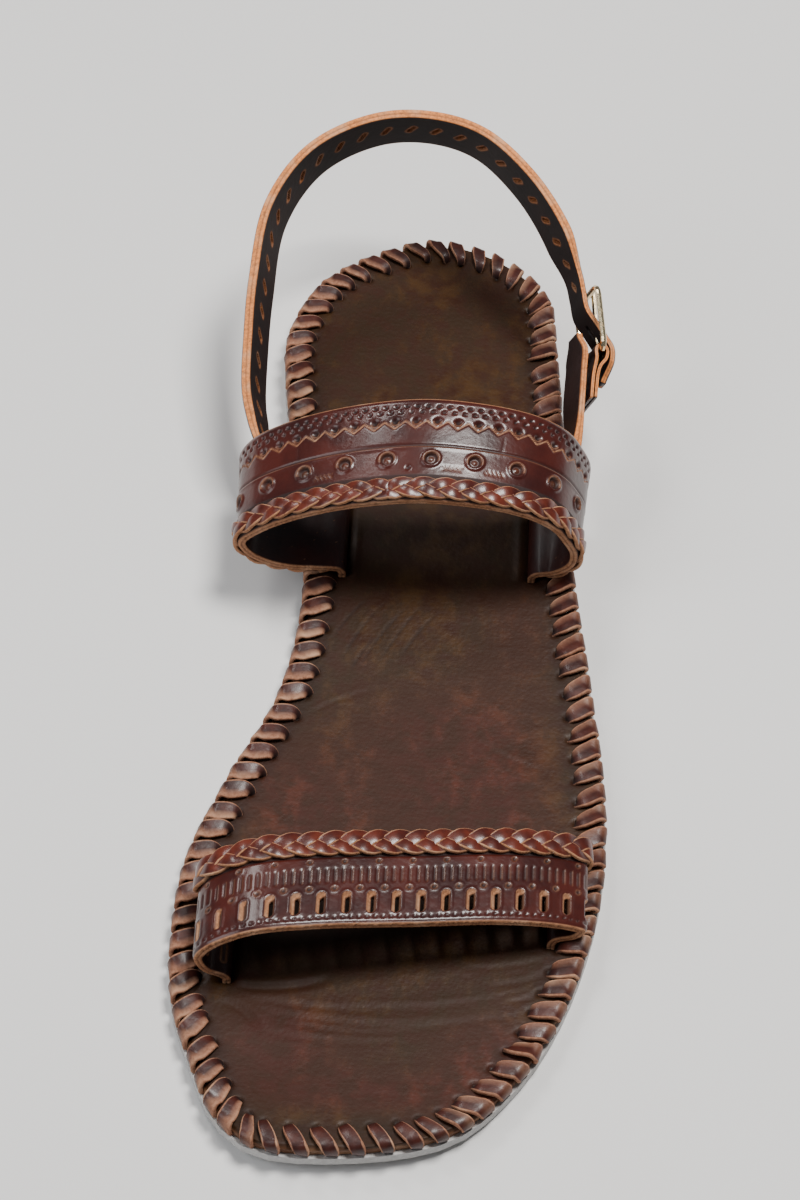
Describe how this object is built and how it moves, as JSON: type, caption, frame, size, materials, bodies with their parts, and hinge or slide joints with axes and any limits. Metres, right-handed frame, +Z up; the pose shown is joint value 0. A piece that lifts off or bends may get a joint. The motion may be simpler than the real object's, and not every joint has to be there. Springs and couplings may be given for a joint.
{
  "type": "sandal",
  "caption": "Flat leather sandal for the left foot with whip-laced sole edge, braided toe and instep straps and a buckled heel strap.",
  "frame": {"origin": "centre of the heel lift's flat underside, on the floor", "axes": "+Z up; the toe points along -Y and the big toe side is -X"},
  "size_m": [0.0915, 0.2588, 0.0541],
  "materials": {
    "footbed": "smooth waxed brown leather",
    "edge_lacing": "flat leather lace with raw tan edges",
    "toe_strap": "polished dark brown leather with raw tan edges",
    "instep_strap": "polished dark brown leather with raw tan edges",
    "heel_strap": "polished dark brown leather with raw tan edges",
    "buckle_strap": "polished dark brown leather with raw tan edges",
    "buckle_loop": "polished dark brown leather with raw tan edges",
    "outsole": "matte pale grey sheet",
    "heel_lift": "matte pale grey sheet",
    "buckle_frame": "polished wire",
    "buckle_prong": "polished wire"
  },
  "bodies": {
    "root": {"outsole": "outsole", "heel_lift": "heel_lift", "footbed": "footbed", "edge_lacing": "edge_lacing", "toe_strap": "toe_strap", "instep_strap": "instep_strap", "heel_strap": "heel_strap", "buckle_strap": "buckle_strap", "buckle_loop": "buckle_loop", "buckle_frame": "buckle_frame", "buckle_prong": "buckle_prong"}
  },
  "joints": []
}
